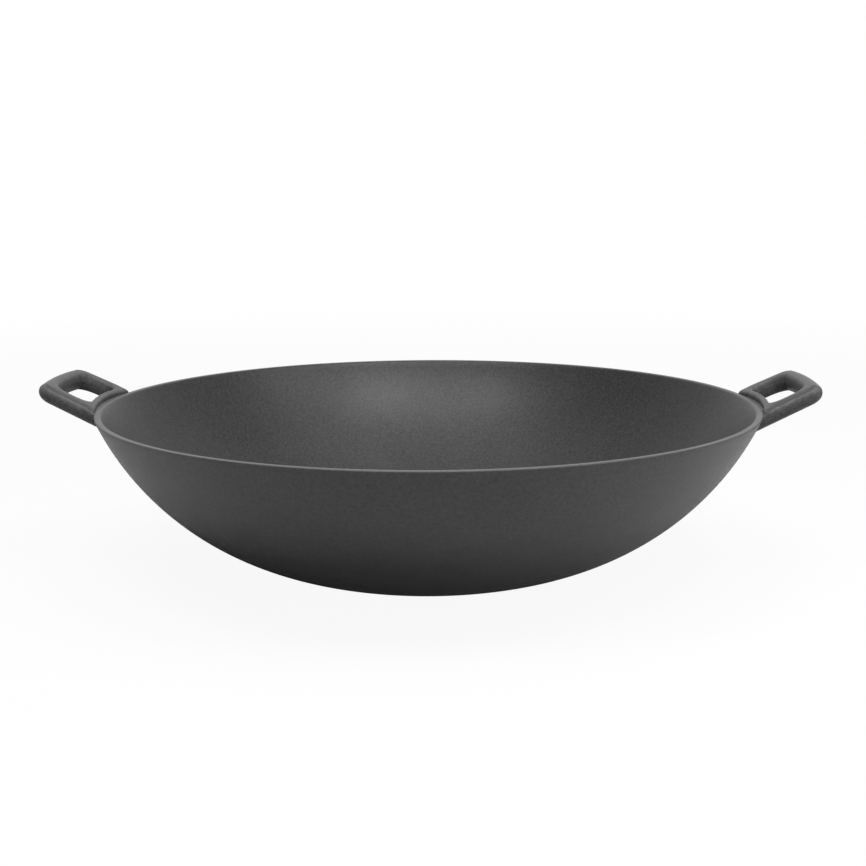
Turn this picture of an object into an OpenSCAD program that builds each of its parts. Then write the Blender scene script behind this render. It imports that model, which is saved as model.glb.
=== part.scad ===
// Cast iron wok: a round-bottomed bowl with a turned flat foot, and two cast loop handles.
// Millimetres, +Z up. The origin is the centre of the foot's flat face, on which the wok
// stands. The handles lie along X.

/* [Bowl] */
// Outer diameter of the rim
rim_d = 360; // [330:1:400]
// Height of the rim's flat land over the foot's face
bowl_h = 91; // [80:0.5:105]
// Width of the flat land on top of the rim
rim_land = 1.6; // [1.2:0.1:2.6]
// Radius that breaks the rim's outer edge
rim_outer_r = 0.6; // [0.4:0.1:0.9]
// Radius that breaks the rim's inner edge
rim_inner_r = 1.8; // [1:0.1:2.2]
// Diameter of the level middle, where the curve of the wall starts
floor_d = 86; // [70:1:96]
// Thickness of the level middle
floor_t = 5; // [4:0.1:7]
// Diameter of the flat foot
foot_d = 112; // [100:1:120]
// Chamfer round the foot
foot_chamfer = 0.5; // [0.2:0.1:0.7]

/* [Handle plan] */
// Slope of the handles, rising outwards, in degrees
handle_rise = 25.3; // [15:0.1:32]
// Reach of the loop from the rim to the corners of its end, along the slope
handle_reach = 30.5; // [29:0.1:36]
// How far the loop's end bows out beyond its corners
end_bow = 1.9; // [0.5:0.1:3]
// Width of the loop at its end
end_w = 67; // [64:0.5:74]
// Width of the loop where it meets the rim
root_w = 74; // [68:0.5:80]
// Corner radius of the loop's end
corner_r = 5.8; // [5.5:0.1:8]
// Corner radius of its upper half beside the rim
root_corner_r = 2.5; // [2.4:0.1:5]

/* [Handle section] */
// Height of the loop's top face over the rim, square to the slope
handle_lift = 2.7; // [2.2:0.1:3.5]
// Thickness above the mould's parting line
upper_t = 4.2; // [3.8:0.1:5.5]
// Thickness below the mould's parting line
lower_t = 5.3; // [4:0.1:6]
// How far the rounded shoulder reaches in from the parting line to the top face
shoulder_w = 4.7; // [3.2:0.1:5.1]
// How far the rounded belly reaches in from the parting line to the underside
belly_w = 5; // [3.5:0.1:6]
// Depth of the fine crease between the shoulder and the top face
crease_depth = 0.4; // [0.1:0.1:0.6]
// Width of that crease
crease_w = 0.9; // [0.5:0.1:1.1]

/* [Finger slot] */
// Distance along the slope from the rim to the slot
slot_start = 4.7; // [4.2:0.1:5.4]
// Width of the bar outside the slot, at its corners
end_bar = 8.5; // [8:0.1:10]
// Width of the slot along the rim
slot_w = 49; // [46:0.2:52]
// Corner radius of the slot
slot_r = 6.6; // [5.5:0.1:7.4]
// How far the slot leans outwards, in degrees from square to the slope
slot_lean = 14; // [6:0.5:18]
// How far the slot opens out from the parting line to the top face
slot_flare_up = 1.3; // [0.8:0.1:1.7]
// How far the slot opens out from the parting line to the underside
slot_flare_down = 1.7; // [1:0.1:3]

/* [Root of the handle] */
// Distance along the slope from the rim to the ridge that stands beside it
ridge_start = 1.5; // [1:0.1:2]
// How much nearer to the rim the ridge comes at its two ends
ridge_close = 0.6; // [0:0.1:0.8]
// How far the floor of the groove between ridge and rim is raised over the parting line
groove_fill = 0.3; // [0:0.1:0.5]
// How far the top face dips where it comes to the rim
root_dip = 0.5; // [0.2:0.1:1.8]
// Distance from the rim over which it dips
dip_run = 9; // [7:0.5:14]
// How far the loop's lower half is carried in, to be cut to the bowl's wall
root_run = 20; // [18:0.5:24]

/* [Hidden] */
iron = [0.3, 0.3, 0.31];
round_facets = 180;
wall_steps = 40;
edge_steps = 6;
section_steps = 5;
corner_steps = 7;
side_steps = 5;
// The ridge and the slot beside it are slender, so their edges round over less there
root_round_share = 0.36;
// A corner's radius shrinks by this share of what its outline draws in
corner_follow_share = 0.6;
// This share of the slot's flare is a straight draft, and the rest rounds its edge
draft_share = 0.6;
// The first ring over the parting line stands this share of the upper half above it
ledge_share = 0.08;

rim_r = rim_d / 2;
floor_r = floor_d / 2;
foot_r = foot_d / 2;
land_out_r = rim_r - rim_outer_r;
land_in_r = land_out_r - rim_land;
end_half = end_w / 2;
root_half = root_w / 2;
slot_half = slot_w / 2;
slot_end = handle_reach - end_bar;

// One arc makes the outside of the wall. It leaves the level middle and runs into the
// rim's outer edge, so its radius follows from where both of them are.
outer_edge_h = bowl_h - rim_outer_r;
outer_span = land_out_r - floor_r;
outer_arc_r = (pow(outer_span, 2) + pow(outer_edge_h, 2) - pow(rim_outer_r, 2))
    / (2 * (outer_edge_h - rim_outer_r));
outer_arc_end = atan2(outer_edge_h - outer_arc_r, outer_span);
foot_arc_start = -acos((foot_r - floor_r) / outer_arc_r);

// A second arc makes the inside, over a floor that is thicker than the rim
inner_edge_h = bowl_h - rim_inner_r - floor_t;
inner_span = land_in_r - floor_r;
inner_arc_r = (pow(inner_span, 2) + pow(inner_edge_h, 2) - pow(rim_inner_r, 2))
    / (2 * (inner_edge_h + rim_inner_r));
inner_arc_end = atan2(inner_edge_h - inner_arc_r, inner_span);

// At the root the loop's lines follow the rim, so there they bow by its sagitta and a little
rim_bow = rim_r - sqrt(pow(rim_r, 2) - pow(root_half, 2));
root_bow = rim_bow + ridge_close;

function arc(centre, r, from, to, steps, first = 0) = [
    for (k = [first:steps])
        let (a = from + (to - from) * k / steps)
            centre + r * [cos(a), sin(a)]
];

// Outside of the bowl in (radius, height), from the foot's centre up to the rim's land
function bowl_outside() = concat(
    [[0, 0], [foot_r - foot_chamfer, 0], [foot_r, foot_chamfer]],
    arc([floor_r, outer_arc_r], outer_arc_r, foot_arc_start, outer_arc_end, wall_steps),
    arc([land_out_r, outer_edge_h], rim_outer_r, outer_arc_end, 90, edge_steps, 1)
);

// Inside of the bowl, from the rim's land down to the centre of the floor
function bowl_inside() = concat(
    arc([land_in_r, bowl_h - rim_inner_r], rim_inner_r, 90, 180 + inner_arc_end, edge_steps),
    arc([floor_r, floor_t + inner_arc_r], inner_arc_r, inner_arc_end, -90, wall_steps, 1),
    [[0, floor_t]]
);

// Points that divide the straight line from p to q, without its ends
function between(p, q) = [
    for (k = [1:side_steps - 1])
        p + (q - p) * k / side_steps
];

// Rounded rectangle from u_in to u_out, as wide as half_w on each side of the middle, with
// a corner radius for each end. All rings have the same number of points, in one order.
function ring(u_in, u_out, half_w, r_in, r_out) = let (
    corners = [
        for (c = [0:3])
            let (outer = c == 0 || c == 3, r = outer ? r_out : r_in)
                arc([outer ? u_out - r : u_in + r, (c < 2 ? 1 : -1) * (half_w - r)],
                    r, 90 * c, 90 * (c + 1), corner_steps)
    ])
    [
        for (c = [0:3])
            each concat(corners[c], between(corners[c][corner_steps], corners[(c + 1) % 4][0]))
    ];

// Outline of the loop, drawn in by inset. The upper half starts at the ridge beside the
// rim, and the lower half runs in to the wall.
function outline(inset, upper) = ring(
    upper ? ridge_start + inset * root_round_share : -root_run,
    handle_reach - inset, end_half - inset,
    upper ? root_corner_r - inset * root_round_share : corner_r,
    corner_r - inset * corner_follow_share
);

// Outline of the finger slot, opened out by flare, where it leans to at a level over or
// under the parting line
function slot(flare, level) = let (
    r = slot_r + flare * corner_follow_share,
    lean = level * tan(slot_lean))
    ring(
        slot_start - flare * root_round_share + lean,
        slot_end + flare + lean, slot_half + flare, r, r
    );

// Plan of the loop: its sides spread towards the root, and its cross lines are bowed, as
// the rim is at the root and as end_bow says at the end
function in_plan(p) = let (
    along = p[0] / handle_reach,
    out = max(along, 0),
    bow = root_bow + (end_bow - root_bow) * out)
    [
        p[0] + end_bow * out - bow * pow(p[1] / end_half, 2),
        p[1] * (1 + (root_half / end_half - 1) * (1 - along))
    ];

// Share of the root's dip that is left at u
function dip_at(u) = let (t = min(max((dip_run - u) / (dip_run - ridge_start), 0), 1))
    t * t * (3 - 2 * t);

// What fills the groove beside the rim at the point p. The loop slopes and the rim doesn't,
// so the groove is filled more towards its ends, where the rim's curve reaches down.
function fill_at(p) = dip_at(p[0])
    * (groove_fill + rim_bow * sin(handle_rise) * pow(p[1] / end_half, 2));

// A ring, laid in the loop's plan at a level over or under the parting line. Over it, the
// fill fades towards the top face, and the dip of the root grows.
function laid(points, level) = [
    for (p = points)
        let (
            share = max(level, 0) / upper_t,
            sunk = root_dip * dip_at(p[0]) * share,
            raised = level > 0 ? fill_at(p) * (1 - share) : 0)
            concat(in_plan(p), handle_lift - upper_t + level - sunk + raised)
];

// Height and inset of a quarter of an ellipse that stands on the parting line, or of a
// blend of it with a straight draft
function rise(t, inset, level, draft = 0) =
    [inset * (draft * sin(t) + (1 - draft) * (1 - cos(t))), level * sin(t)];

// Rings in order round the loop's section: up over the ledge and the shoulder, across the
// crease and the top face, down through the slot, and back up round the belly
loop_rings = let (
    ledge = rise(asin(ledge_share), shoulder_w, upper_t),
    up = [for (k = [1:section_steps]) 90 * k / section_steps],
    down = [for (k = [section_steps:-1:0]) 90 * k / section_steps])
    concat(
        [laid(outline(ledge[0], true), ledge[1])],
        [for (t = up) let (e = rise(t, shoulder_w, upper_t)) laid(outline(e[0], true), e[1])],
        [laid(outline(shoulder_w + crease_w / 2, true), upper_t - crease_depth)],
        [laid(outline(shoulder_w + crease_w, true), upper_t)],
        [
            for (t = down)
                let (e = rise(t, slot_flare_up, upper_t, draft_share))
                    laid(slot(e[0], e[1]), e[1])
        ],
        [
            for (k = [1:section_steps])
                let (e = rise(90 * k / section_steps, slot_flare_down, -lower_t))
                    laid(slot(e[0], e[1]), e[1])
        ],
        [for (t = down) let (e = rise(t, belly_w, -lower_t)) laid(outline(e[0], false), e[1])]
    );

// The loop alone, as one closed skin of its rings
module loop() {
    rings = len(loop_rings);
    around = len(loop_rings[0]);
    polyhedron(
        points = [for (r = loop_rings) each r],
        faces = [
            for (j = [0:rings - 1], i = [0:around - 1])
                let (
                    here = j * around,
                    next = (j + 1) % rings * around,
                    k = (i + 1) % around
                )
                    each [
                        [here + i, next + i, next + k],
                        [here + i, next + k, here + k]
                    ]
        ]
    );
}

// A handle is the loop, tilted at the rim and cut to the outside of the bowl, wall and rim
module handle() {
    color(iron)
        difference() {
            translate([land_out_r, 0, bowl_h])
                rotate([0, -handle_rise, 0])
                    loop();
            rotate_extrude($fn = round_facets)
                polygon(concat(bowl_outside(), [[0, bowl_h]]));
        }
}

module bowl() {
    color(iron)
        rotate_extrude($fn = round_facets)
            polygon(concat(bowl_outside(), bowl_inside()));
}

module left_handle() {
    mirror([1, 0, 0])
        handle();
}

module right_handle() {
    handle();
}

bowl();
left_handle();
right_handle();
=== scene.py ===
"""Cast iron wok: a round-bottomed bowl on a flat foot, with a loop handle at each side.

Metres, +Z up. The origin is the centre of the foot, and the handles lie along X.
"""
from math import acos, atan2, cos, hypot, pi, radians, sin, sqrt, tan

import bmesh
import bpy
from mathutils import Matrix, Vector
from mathutils.kdtree import KDTree


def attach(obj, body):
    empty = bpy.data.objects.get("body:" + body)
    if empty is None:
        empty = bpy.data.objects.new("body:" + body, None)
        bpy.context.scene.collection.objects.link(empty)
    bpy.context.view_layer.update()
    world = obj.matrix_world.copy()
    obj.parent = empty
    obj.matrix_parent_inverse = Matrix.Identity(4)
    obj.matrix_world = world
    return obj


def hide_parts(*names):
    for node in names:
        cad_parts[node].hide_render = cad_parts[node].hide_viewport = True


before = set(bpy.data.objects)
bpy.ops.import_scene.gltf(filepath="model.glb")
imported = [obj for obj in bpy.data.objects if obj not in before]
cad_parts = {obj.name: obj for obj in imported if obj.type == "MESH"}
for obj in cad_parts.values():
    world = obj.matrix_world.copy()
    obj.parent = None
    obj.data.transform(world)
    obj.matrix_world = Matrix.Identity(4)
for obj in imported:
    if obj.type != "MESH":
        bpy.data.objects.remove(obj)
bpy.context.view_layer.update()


# The wok is seen from the front, a little over its rim and a touch to the right, with the
# camera near enough for the front of the rim to look wider than the back.
CAMERA_PLACE = (0.0278488, -0.7103893, 0.2071881)
CAMERA_TURN = radians(2.0585)
CAMERA_DOWN = radians(10.6517)
CAMERA_ROLL = radians(-0.2248)


def in_scene(name, data):
    """A new object, put in the scene."""
    thing = bpy.data.objects.new(name, data)
    bpy.context.scene.collection.objects.link(thing)
    return thing


eye = bpy.data.cameras.new("photo_camera")
eye.lens = 54.0
eye.sensor_width = 36.0
camera = in_scene("photo_camera", eye)
camera.matrix_world = (
    Matrix.Translation(CAMERA_PLACE)
    @ Matrix.Rotation(CAMERA_TURN, 4, "Z")
    @ Matrix.Rotation(pi / 2 - CAMERA_DOWN, 4, "X")
    @ Matrix.Rotation(CAMERA_ROLL, 4, "Z")
)
bpy.context.scene.camera = camera


# The bowl is a shell of revolution, cast in sand. Its wall is one round sweep from the level
# middle to the rim, its rim has a flat ground land, and its foot is turned flat. Its iron is
# seasoned, with oil baked on in a thin black film, and is smoother inside than outside.
RIM_R = 0.180
RIM_FIT = 0.99999
BOWL_H = 0.091
RIM_LAND = 0.0016
RIM_OUTER_R = 0.0006
RIM_INNER_R = 0.0018
FLOOR_R = 0.043
FLOOR_T = 0.005
FOOT_R = 0.056
FOOT_CHAMFER = 0.0005
LAND_OUT = RIM_R - RIM_OUTER_R
LAND_IN = LAND_OUT - RIM_LAND
EDGE_H = BOWL_H - RIM_OUTER_R
LIP_H = BOWL_H - RIM_INNER_R
WALL_SPAN = LAND_OUT - FLOOR_R
WALL_SWEEP = (WALL_SPAN**2 + EDGE_H**2 - RIM_OUTER_R**2) / (2 * (EDGE_H - RIM_OUTER_R))

WALL_STEPS = 56
LIP_STEPS = 5
ROUND_STEPS = 288
MERGE = 1e-6
LAND_DEPTH = 0.0002
FACES_UP = 0.05
SHARP_EDGE = radians(24)

PATCHES_PER_M = 22.0
MOTTLES_PER_M = 260.0
PATCH_TONE = 0.35
MOTTLE_TONE = 0.3
SAND_TONE = 0.35
# Painted shade: how much a handle's crease darkens the iron's tone.
CREASE_PAINTED_SHADE = 0.5
TONE_RANGE = (0.36, 0.64)
MOTTLE_ROUGH = 0.16
SAND_ROUGH = 0.1


class Flow:
    """A value in a finish. Sums, differences and products of flows add their nodes."""

    def __init__(self, tree, socket=None):
        self.tree = tree
        self.socket = socket

    def node(self, kind, settings=None, sockets=None, out=0):
        """Adds a node: its settings first, then the values or links of its sockets."""
        made = self.tree.nodes.new(kind)
        for name, value in (settings or {}).items():
            setattr(made, name, value)
        for name, value in (sockets or {}).items():
            if isinstance(value, Flow):
                self.tree.links.new(value.socket, made.inputs[name])
            else:
                made.inputs[name].default_value = value
        return Flow(self.tree, made.outputs[out])

    def maths(self, operation, *terms):
        return self.node("ShaderNodeMath", {"operation": operation}, dict(enumerate(terms)))

    def __add__(self, other):
        return self.maths("ADD", self, other)

    __radd__ = __add__

    def __sub__(self, other):
        return self.maths("SUBTRACT", self, other)

    def __rsub__(self, other):
        return self.maths("SUBTRACT", other, self)

    def __mul__(self, other):
        return self.maths("MULTIPLY", self, other)

    __rmul__ = __mul__

    def clamped(self):
        return self.maths("MINIMUM", self.maths("MAXIMUM", self, 0.0), 1.0)

    def ramp(self, low, high):
        """0 at low, 1 at high, straight between."""
        return self.node(
            "ShaderNodeMapRange", {"clamp": True},
            {"Value": self, "From Min": low, "From Max": high},
        )

    def greys(self, first, second):
        """Goes from the first grey to the second as this goes from 0 to 1."""
        return self.node(
            "ShaderNodeMix", {"data_type": "RGBA"},
            {0: self, 6: (first, first, first, 1), 7: (second, second, second, 1)}, out=2,
        )

    def noise(self, scale, detail=3.0, roughness=0.5):
        """Cloudy noise over the place that this flow is."""
        return self.node(
            "ShaderNodeTexNoise", None,
            {"Vector": self, "Scale": scale, "Detail": detail, "Roughness": roughness},
        )

    def into(self, node, name):
        self.tree.links.new(self.socket, node.inputs[name])


def seasoned_iron(
    name, dark, pale, roughness, gloss, film, sand_per_m, sand_depth, wave_depth
):
    """Black iron under baked-on oil: patchy in tone and grained by the sand it was cast in,
    with a film of oil that shines most on the high grains, and darker along the handles'
    creases as painted shade."""
    finish = bpy.data.materials.new(name)
    finish.use_nodes = True
    shader = finish.node_tree.nodes["Principled BSDF"]
    start = Flow(finish.node_tree)
    place = start.node("ShaderNodeTexCoord", out="Object")
    patches = place.noise(PATCHES_PER_M)
    mottle = place.noise(MOTTLES_PER_M)
    sand = place.noise(sand_per_m, detail=1.0, roughness=0.4)
    crease = start.node("ShaderNodeAttribute", {"attribute_name": "crease"}, out="Fac")
    tone = patches * PATCH_TONE + mottle * MOTTLE_TONE + sand * SAND_TONE
    # Painted shade: the tone is darkened along the handles' creases, as deep as they are
    # marked.
    tone = (tone - crease * CREASE_PAINTED_SHADE).ramp(*TONE_RANGE)
    tone.greys(dark, pale).into(shader, "Base Color")
    plain = roughness - (MOTTLE_ROUGH + SAND_ROUGH) / 2
    (mottle * MOTTLE_ROUGH + sand * SAND_ROUGH + plain).into(shader, "Roughness")
    height = sand * sand_depth + mottle * wave_depth
    start.node(
        "ShaderNodeBump", None, {"Strength": 1.0, "Distance": 1.0, "Height": height}
    ).into(shader, "Normal")
    (sand * (film * gloss) + (1 - film / 2) * gloss).into(shader, "Coat Weight")
    shader.inputs["Coat Roughness"].default_value = roughness
    shader.inputs["Specular IOR Level"].default_value = gloss / 2
    return finish


inside_iron = seasoned_iron(
    "inside_iron", dark=0.006, pale=0.018, roughness=0.41, gloss=0.33, film=1.3,
    sand_per_m=700.0, sand_depth=0.00005, wave_depth=0.0001,
)
outside_iron = seasoned_iron(
    "outside_iron", dark=0.02, pale=0.034, roughness=0.5, gloss=0.53, film=0.8,
    sand_per_m=650.0, sand_depth=0.00005, wave_depth=0.00005,
)
ground_iron = seasoned_iron(
    "ground_iron", dark=0.028, pale=0.05, roughness=0.5, gloss=0.52, film=1.0,
    sand_per_m=700.0, sand_depth=0.00005, wave_depth=0.00004,
)


def wall_arc(centre_r, centre_z, radius, start, end, steps):
    """Points of an arc in the plane of a profile, as (radius, height)."""
    turns = [start + (end - start) * k / steps for k in range(steps + 1)]
    return [(centre_r + radius * cos(a), centre_z + radius * sin(a)) for a in turns]


def bowl_profile():
    """The bowl's section, from the foot's centre out over the rim and in to the floor."""
    foot_start = -acos((FOOT_R - FLOOR_R) / WALL_SWEEP)
    outer_end = atan2(EDGE_H - WALL_SWEEP, WALL_SPAN)
    rise = LIP_H - FLOOR_T
    reach = LAND_IN - FLOOR_R
    inner_sweep = (reach**2 + rise**2 - RIM_INNER_R**2) / (2 * (rise + RIM_INNER_R))
    inner_end = atan2(rise - inner_sweep, reach)
    outside = [(0.0, 0.0), (FOOT_R * 0.6, 0.0), (FOOT_R - FOOT_CHAMFER, 0.0)]
    outside += wall_arc(FLOOR_R, WALL_SWEEP, WALL_SWEEP, foot_start, outer_end, WALL_STEPS)
    outside += wall_arc(LAND_OUT, EDGE_H, RIM_OUTER_R, outer_end, pi / 2, LIP_STEPS)[1:]
    inside = wall_arc(LAND_IN, LIP_H, RIM_INNER_R, pi / 2, pi + inner_end, LIP_STEPS)
    inside += wall_arc(
        FLOOR_R, FLOOR_T + inner_sweep, inner_sweep, inner_end, -pi / 2, WALL_STEPS
    )[1:]
    inside += [(FLOOR_R * 0.5, FLOOR_T), (0.0, FLOOR_T)]
    return outside + inside


def cast_bowl():
    """The bowl's section spun once round its middle, with its finish set face by face."""
    work = bmesh.new()
    points = [work.verts.new((r * RIM_FIT, 0, z)) for r, z in bowl_profile()]
    edges = [work.edges.new(pair) for pair in zip(points, points[1:])]
    bmesh.ops.spin(
        work, geom=points + edges, cent=(0, 0, 0), axis=(0, 0, 1), angle=2 * pi,
        steps=ROUND_STEPS, use_merge=True, use_duplicate=False,
    )
    bmesh.ops.remove_doubles(work, verts=work.verts, dist=MERGE)
    bmesh.ops.recalc_face_normals(work, faces=work.faces)
    inside, outside, land = range(3)
    for face in work.faces:
        face.smooth = True
        middle = face.calc_center_median()
        if middle.z > BOWL_H - LAND_DEPTH:
            face.material_index = land
        elif hypot(middle.x, middle.y) < LAND_IN and face.normal.z > FACES_UP:
            face.material_index = inside
        else:
            face.material_index = outside
    for edge in work.edges:
        edge.smooth = edge.calc_face_angle(0.0) < SHARP_EDGE
    mesh = bpy.data.meshes.new("cast_bowl")
    work.to_mesh(mesh)
    work.free()
    for finish in (inside_iron, outside_iron, ground_iron):
        mesh.materials.append(finish)
    return in_scene("cast_bowl", mesh)


bowl = cast_bowl()
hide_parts("bowl")
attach(bowl, "root")


# Each handle is a short loop with a slot for the fingers, cast in one with the bowl. The mould
# parted at half its height, a crease runs along each shoulder above that line, and its edges
# are soft from the casting and the blasting, most of all round the top of the slot.
HANDLE_RISE = radians(25.3)
HANDLE_REACH = 0.0305
HANDLE_LIFT = 0.0027
END_BOW = 0.0019
END_HALF = 0.0335
ROOT_HALF = 0.037
RIM_BOW = RIM_R - sqrt(RIM_R**2 - ROOT_HALF**2)
RIDGE_CLOSE = 0.0006
ROOT_BOW = RIM_BOW + RIDGE_CLOSE
RIDGE_START = 0.0015
CORNER_R = 0.0058
UPPER_T = 0.0042
SHOULDER_W = 0.0047
SHOULDER_ROUND = 0.6
GROOVE_FILL = 0.0003
ROOT_DIP = 0.0005
DIP_RUN = 0.009

SLOT_START = 0.0047
SLOT_END = 0.022
SLOT_HALF = 0.0245
SLOT_R = 0.0066
SLOT_LEAN = radians(14)
SLOT_FLARE = 0.0013
NEAR_FLARE = 0.36
CORNER_FLARE = 0.6
SLOT_WEAR = 0.0026

CREASE_TURN = radians(55)
CREASE_INNER = 0.0019
CREASE_OUTER = 0.001
CREASE_DEPTH = 0.00055
CREASE_START = 0.003
CREASE_CURL = 0.0034
CREASE_ROOT = 0.2

ROOT_NEAR = 1e-4
ROOT_FACING = -0.2
ROOT_DEPTH = 0.0015
WELD = 2e-6
SKIN_STEP = 0.0003
CAST_PASSES = 4
WEAR_PASSES = 80
SHORT_STEPS = 40
LONG_STEPS = 120
RUN_STEPS = 160
BEND_STEPS = 24

handle_iron = seasoned_iron(
    "handle_iron", dark=0.024, pale=0.08, roughness=0.52, gloss=0.38, film=0.6,
    sand_per_m=650.0, sand_depth=0.00004, wave_depth=0.00018,
)


def loop_point(u, v, level):
    """A point of the loop, from its distance out along the slope, its distance from the
    middle and its level over the parting line."""
    out = max(u / HANDLE_REACH, 0.0)
    bow = ROOT_BOW + (END_BOW - ROOT_BOW) * out
    along = u + END_BOW * out - bow * (v / END_HALF) ** 2
    across = v * (1 + (ROOT_HALF / END_HALF - 1) * (1 - u / HANDLE_REACH))
    near = min(max((DIP_RUN - u) / (DIP_RUN - RIDGE_START), 0.0), 1.0)
    near *= near * (3 - 2 * near)
    fill = GROOVE_FILL + RIM_BOW * sin(HANDLE_RISE) * (v / END_HALF) ** 2
    share = level / UPPER_T
    up = HANDLE_LIFT - UPPER_T + level + near * (fill * (1 - share) - ROOT_DIP * share)
    return Vector((
        LAND_OUT + along * cos(HANDLE_RISE) - up * sin(HANDLE_RISE),
        across,
        BOWL_H + along * sin(HANDLE_RISE) + up * cos(HANDLE_RISE),
    ))


def slot_lip():
    """Points round the upper edge of the slot, where fingers wear it most."""
    shift = UPPER_T * tan(SLOT_LEAN)
    near = SLOT_START - NEAR_FLARE * SLOT_FLARE + shift
    far = SLOT_END + SLOT_FLARE + shift
    half = SLOT_HALF + SLOT_FLARE
    r = SLOT_R + CORNER_FLARE * SLOT_FLARE
    ring = []
    for side in (1, -1):
        for k in range(SHORT_STEPS + 1):
            ring.append((near + r + (far - near - 2 * r) * k / SHORT_STEPS, side * half))
        for k in range(LONG_STEPS + 1):
            across = side * (half - r) * k / LONG_STEPS
            ring += [(near, across), (far, across)]
        for k in range(SHORT_STEPS):
            turn = pi / 2 * k / (SHORT_STEPS - 1)
            back = r * (1 - sin(turn))
            across = side * (half - r * (1 - cos(turn)))
            ring += [(near + back, across), (far - back, across)]
    return [loop_point(u, v, UPPER_T) for u, v in ring]


def crease_lines():
    """Points of the creases with how deep they are: one along each side's shoulder, turning
    down at the root and fading at the outer corner."""
    inset = SHOULDER_W * (1 - cos(CREASE_TURN))
    top = UPPER_T * sin(CREASE_TURN)
    edge = END_HALF - inset
    r = CORNER_R - SHOULDER_ROUND * inset
    straight = CREASE_START + CREASE_CURL
    corner = HANDLE_REACH - inset - r
    points = []
    for side in (1, -1):
        for k in range(SHORT_STEPS):
            turn = pi / 2 * k / (SHORT_STEPS - 1)
            rise = CREASE_TURN * sin(turn)
            points.append((
                CREASE_START + CREASE_CURL * (1 - cos(turn)),
                side * (END_HALF - SHOULDER_W * (1 - cos(rise))),
                UPPER_T * sin(rise),
                CREASE_ROOT + (1 - CREASE_ROOT) * sin(turn),
            ))
        for k in range(RUN_STEPS):
            along = straight + (corner - straight) * k / RUN_STEPS
            points.append((along, side * edge, top, 1.0))
        for k in range(BEND_STEPS):
            share = k / (BEND_STEPS - 1)
            turn = pi / 2 * share
            across = side * (edge - r * (1 - cos(turn)))
            points.append((corner + r * sin(turn), across, top, 1.0 - share))
    return [(loop_point(u, v, level), depth) for u, v, level, depth in points]


def point_tree(points, mirror):
    """The points, mirrored to the handle's own side, for finding the nearest."""
    tree = KDTree(len(points))
    for number, point in enumerate(points):
        tree.insert((point.x * mirror, point.y, point.z), number)
    tree.balance()
    return tree


def wall_radius(z):
    """Outer radius of the bowl's wall at a height."""
    return FLOOR_R + sqrt(max(WALL_SWEEP**2 - (WALL_SWEEP - min(z, BOWL_H)) ** 2, 0.0))


def outward(point):
    """The level direction from the wok's middle to a point."""
    return Vector((point.x, point.y, 0)).normalized()


def on_wall(face):
    """True for a face of the root that lies against the bowl's wall."""
    middle = face.calc_center_median()
    near = abs(hypot(middle.x, middle.y) - wall_radius(middle.z)) < ROOT_NEAR
    return near and middle.z < BOWL_H and face.normal.dot(outward(middle)) < ROOT_FACING


def rooted(source, name):
    """A copy of a handle's solid, with its root carried into the bowl's wall."""
    work = bmesh.new()
    work.from_mesh(source.data)
    bmesh.ops.remove_doubles(work, verts=work.verts, dist=WELD)
    root = [face for face in work.faces if on_wall(face)]
    grown = bmesh.ops.extrude_face_region(work, geom=root)["geom"]
    for part in grown:
        if isinstance(part, bmesh.types.BMVert):
            part.co -= outward(part.co) * ROOT_DEPTH
    bmesh.ops.delete(work, geom=root, context="FACES")
    mesh = bpy.data.meshes.new(name)
    work.to_mesh(mesh)
    work.free()
    return mesh


def even_skin(mesh, name):
    """The same form in small even faces, ready for softening."""
    draft = in_scene(name, mesh)
    skin = draft.modifiers.new("skin", "REMESH")
    skin.mode = "VOXEL"
    skin.voxel_size = SKIN_STEP
    skin.adaptivity = 0.0
    bpy.context.view_layer.update()
    ready = draft.evaluated_get(bpy.context.evaluated_depsgraph_get())
    even = bpy.data.meshes.new_from_object(ready)
    bpy.data.objects.remove(draft)
    return even


def soften(work, mirror):
    """Rounds all edges a little, and those round the top of the slot much more."""
    lip = point_tree(slot_lip(), mirror)
    worn = [vert for vert in work.verts if lip.find(vert.co)[2] < SLOT_WEAR]
    for verts, passes in ((work.verts, CAST_PASSES), (worn, WEAR_PASSES)):
        for _ in range(passes):
            bmesh.ops.smooth_vert(
                work, verts=verts, factor=0.5,
                use_axis_x=True, use_axis_y=True, use_axis_z=True,
            )
    work.normal_update()


def press_creases(work, mirror):
    """Presses the creases in, and marks how deep they are; the finish darkens the tone by that
    mark as painted shade.
    """
    lines = crease_lines()
    tree = point_tree([point for point, _ in lines], mirror)
    crease_depth_and_shade = work.verts.layers.float.new("crease")
    for vert in work.verts:
        place, number, gap = tree.find(vert.co)
        reach = CREASE_OUTER if abs(vert.co.y) > abs(place.y) else CREASE_INNER
        # The mark sinks the surface into a real crease and is also the painted shade along it.
        vert[crease_depth_and_shade] = lines[number][1] * max(0.0, 1 - (gap / reach) ** 2) ** 2
        vert.co -= vert.normal * (CREASE_DEPTH * vert[crease_depth_and_shade])


def cast_loop(source, name, mirror):
    """A handle: its solid rooted in the wall, with its edges softened and its creases."""
    mesh = even_skin(rooted(source, name + "_solid"), name + "_draft")
    mesh.name = name
    work = bmesh.new()
    work.from_mesh(mesh)
    soften(work, mirror)
    press_creases(work, mirror)
    for face in work.faces:
        face.smooth = True
    work.to_mesh(mesh)
    work.free()
    mesh.materials.clear()
    mesh.materials.append(handle_iron)
    return in_scene(name, mesh)


for side, mirror in (("left", -1), ("right", 1)):
    loop = cast_loop(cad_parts[side + "_handle"], side + "_loop", mirror)
    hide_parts(side + "_handle")
    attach(loop, "root")


# The wok stands on plain pale paper in soft studio light: a broad lamp overhead, three small
# ones high in front, a box and a fill at the right, and a weak fill from the front. All round
# it is white, and the paper goes white away from the wok's own shadow.
PAPER_HALF = 8.0
PAPER_BOUNCE = 0.25
PAPER_SEEN = 0.8
SHADOW_SHOWN = 0.07
SHADOW_FADE = (0.4, 1.6)
AIR_LIGHT = 0.005
WHITE = (1, 1, 1, 1)


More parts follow.
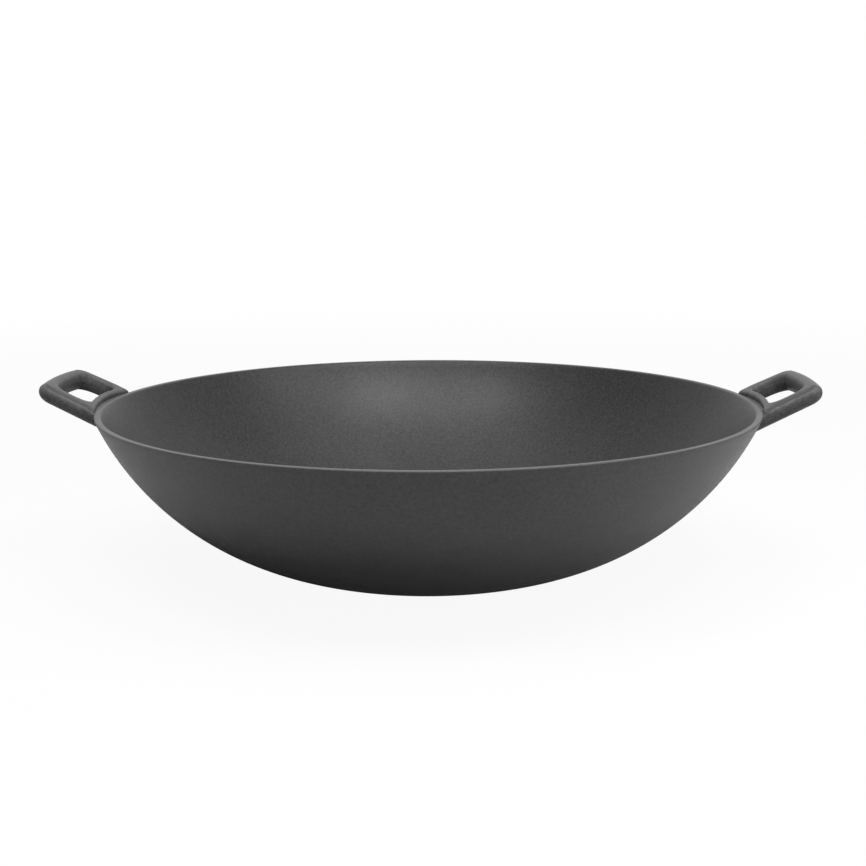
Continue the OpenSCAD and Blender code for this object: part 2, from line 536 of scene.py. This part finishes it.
def seen_ways(start):
    """What the camera sees straight, and what it sees straight, mirrored or through glass."""
    straight, mirrored, through = (
        start.node("ShaderNodeLightPath", out=way)
        for way in ("Is Camera Ray", "Is Glossy Ray", "Is Transmission Ray")
    )
    return straight, (straight + (mirrored + through)).clamped()


def studio_floor():
    work = bmesh.new()
    bmesh.ops.create_grid(work, x_segments=1, y_segments=1, size=PAPER_HALF)
    mesh = bpy.data.meshes.new("studio_floor")
    work.to_mesh(mesh)
    work.free()
    paper = bpy.data.materials.new("floor_paper")
    paper.use_nodes = True
    nodes = paper.node_tree.nodes
    shader = nodes["Principled BSDF"]
    shader.inputs["Roughness"].default_value = 0.9
    shader.inputs["Specular IOR Level"].default_value = 0.0
    start = Flow(paper.node_tree)
    straight, seen = seen_ways(start)
    seen.greys(PAPER_BOUNCE, PAPER_SEEN).into(shader, "Base Color")
    place = start.node("ShaderNodeTexCoord", out="Object")
    far = start.node("ShaderNodeVectorMath", {"operation": "LENGTH"}, {0: place}, out="Value")
    white = start.node("ShaderNodeEmission", None, {"Color": WHITE, "Strength": 1.0})
    whiteness = far.ramp(*SHADOW_FADE) * SHADOW_SHOWN + (1 - SHADOW_SHOWN)
    start.node(
        "ShaderNodeMixShader", None,
        {0: straight * whiteness, 1: Flow(paper.node_tree, shader.outputs[0]), 2: white},
    ).into(nodes["Material Output"], "Surface")
    mesh.materials.append(paper)
    return in_scene("studio_floor", mesh)


studio_floor()


def soft_lamp(name, place, aim_h, width, depth, power):
    """An even lamp with its middle at a place, turned to a height over the wok's foot."""
    light = bpy.data.lights.new(name, "AREA")
    light.shape = "RECTANGLE"
    light.size = width
    light.size_y = depth
    light.energy = power
    way = Vector((0, 0, aim_h)) - Vector(place)
    turn = way.to_track_quat("-Z", "Y").to_matrix().to_4x4()
    in_scene(name, light).matrix_world = Matrix.Translation(place) @ turn


soft_lamp("overhead", (0.0, 0.1, 1.4), 0.05, width=1.4, depth=1.0, power=6.2)
soft_lamp("left_key", (-0.35, -0.5, 1.25), 0.05, width=0.35, depth=0.35, power=5.3)
soft_lamp("key", (0.08, -0.75, 1.2), 0.05, width=0.35, depth=0.35, power=2.6)
soft_lamp("right_key", (0.35, -0.5, 1.25), 0.05, width=0.35, depth=0.35, power=6.4)
soft_lamp("right_box", (0.9, -0.3, 1.0), 0.05, width=0.6, depth=0.6, power=4.6)
soft_lamp("right_fill", (0.9, -0.9, 0.5), 0.06, width=0.6, depth=0.6, power=2.7)
soft_lamp("front_fill", (0.1, -1.6, 0.3), 0.06, width=0.8, depth=0.4, power=2.0)

world = bpy.data.worlds.new("studio")
bpy.context.scene.world = world
world.use_nodes = True
world.node_tree.nodes.clear()
start = Flow(world.node_tree)
seen = seen_ways(start)[1]
air = start.node("ShaderNodeBackground", None, {"Color": WHITE, "Strength": AIR_LIGHT})
white = start.node("ShaderNodeBackground", None, {"Color": WHITE, "Strength": 1.0})
start.node("ShaderNodeMixShader", None, {0: seen, 1: air, 2: white}).into(
    world.node_tree.nodes.new("ShaderNodeOutputWorld"), "Surface"
)

bpy.context.scene.view_settings.view_transform = "Standard"
